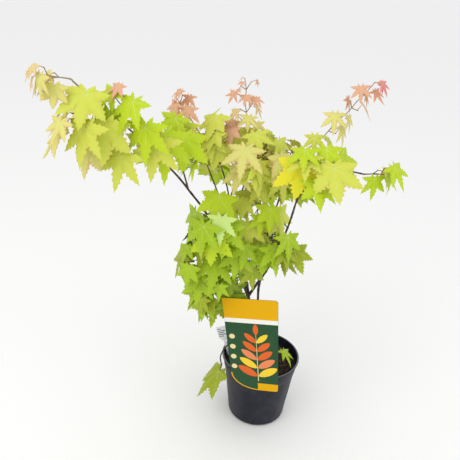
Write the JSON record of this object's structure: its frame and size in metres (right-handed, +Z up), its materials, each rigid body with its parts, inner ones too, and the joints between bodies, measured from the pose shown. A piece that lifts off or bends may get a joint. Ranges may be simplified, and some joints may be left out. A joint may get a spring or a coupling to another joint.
{
  "type": "potted ornamental maple",
  "caption": "Young multi-stemmed maple with hanging lobed yellow-green leaves and orange-pink tips, standing in a round dark nursery pot with a plant label on its rim.",
  "frame": {"origin": "centre of the pot's flat underside, where it stands on the ground", "axes": "+Z up along the pot; the label is on the -Y side, which faces the picture's camera; +X is to that camera's right"},
  "size_m": [0.5892, 0.5102, 0.8091],
  "materials": {
    "pot_plastic": "satin, dark charcoal",
    "soil": "matt, dark bark compost",
    "card": "printed semi-gloss",
    "tag": "matt white",
    "bark": "matt, dark brown",
    "leaf_lime": "soft satin, lime green",
    "leaf_yellow": "soft satin, yellow-green",
    "leaf_orange": "soft satin, orange-pink new growth"
  },
  "bodies": {
    "root": {"pot": "pot_plastic", "soil": "soil", "label_card": "card", "label_tongue": "card", "tag": "tag", "trunk": "bark", "bough_left": "bark", "bough_right": "bark", "bough_mid": "bark", "bough_upper_a": "bark", "bough_upper_b": "bark", "bough_left_far": "bark", "bough_left_arm": "bark", "bough_left_top": "bark", "bough_left_knee": "bark", "bough_tuft": "bark", "bough_crown": "bark", "bough_right_low": "bark", "bough_far_right": "bark", "bough_column": "bark", "bough_shoulder": "bark", "bough_waist": "bark", "bough_skirt": "bark", "bough_front": "bark", "bough_right_waist": "bark", "bough_low_shoot": "bark", "bough_sprout": "bark", "bough_back_left": "bark", "bough_back_right": "bark", "bough_back_top": "bark", "bough_back_low_left": "bark", "bough_back_low_right": "bark", "leaves_far_left": "leaf_orange", "leaves_left_fan": "leaf_yellow", "leaves_left_mid": "leaf_lime", "leaves_left_top": "leaf_lime", "leaves_knee": "leaf_lime", "leaves_tuft": "leaf_orange", "leaves_crown_left": "leaf_lime", "leaves_top": "leaf_orange", "leaves_crown": "leaf_yellow", "leaves_crown_right": "leaf_yellow", "leaves_right_arm": "leaf_yellow", "leaves_right_low": "leaf_lime", "leaves_far_right": "leaf_lime", "leaves_column": "leaf_lime", "leaves_shoulder": "leaf_lime", "leaves_waist": "leaf_lime", "leaves_skirt": "leaf_lime", "leaves_front": "leaf_lime", "leaves_right_waist": "leaf_lime", "leaves_low_shoot": "leaf_lime", "leaves_sprout": "leaf_lime", "leaves_back_left": "leaf_lime", "leaves_back_right": "leaf_lime", "leaves_back_top": "leaf_lime", "leaves_back_low_left": "leaf_lime", "leaves_back_low_right": "leaf_lime"}
  },
  "joints": []
}
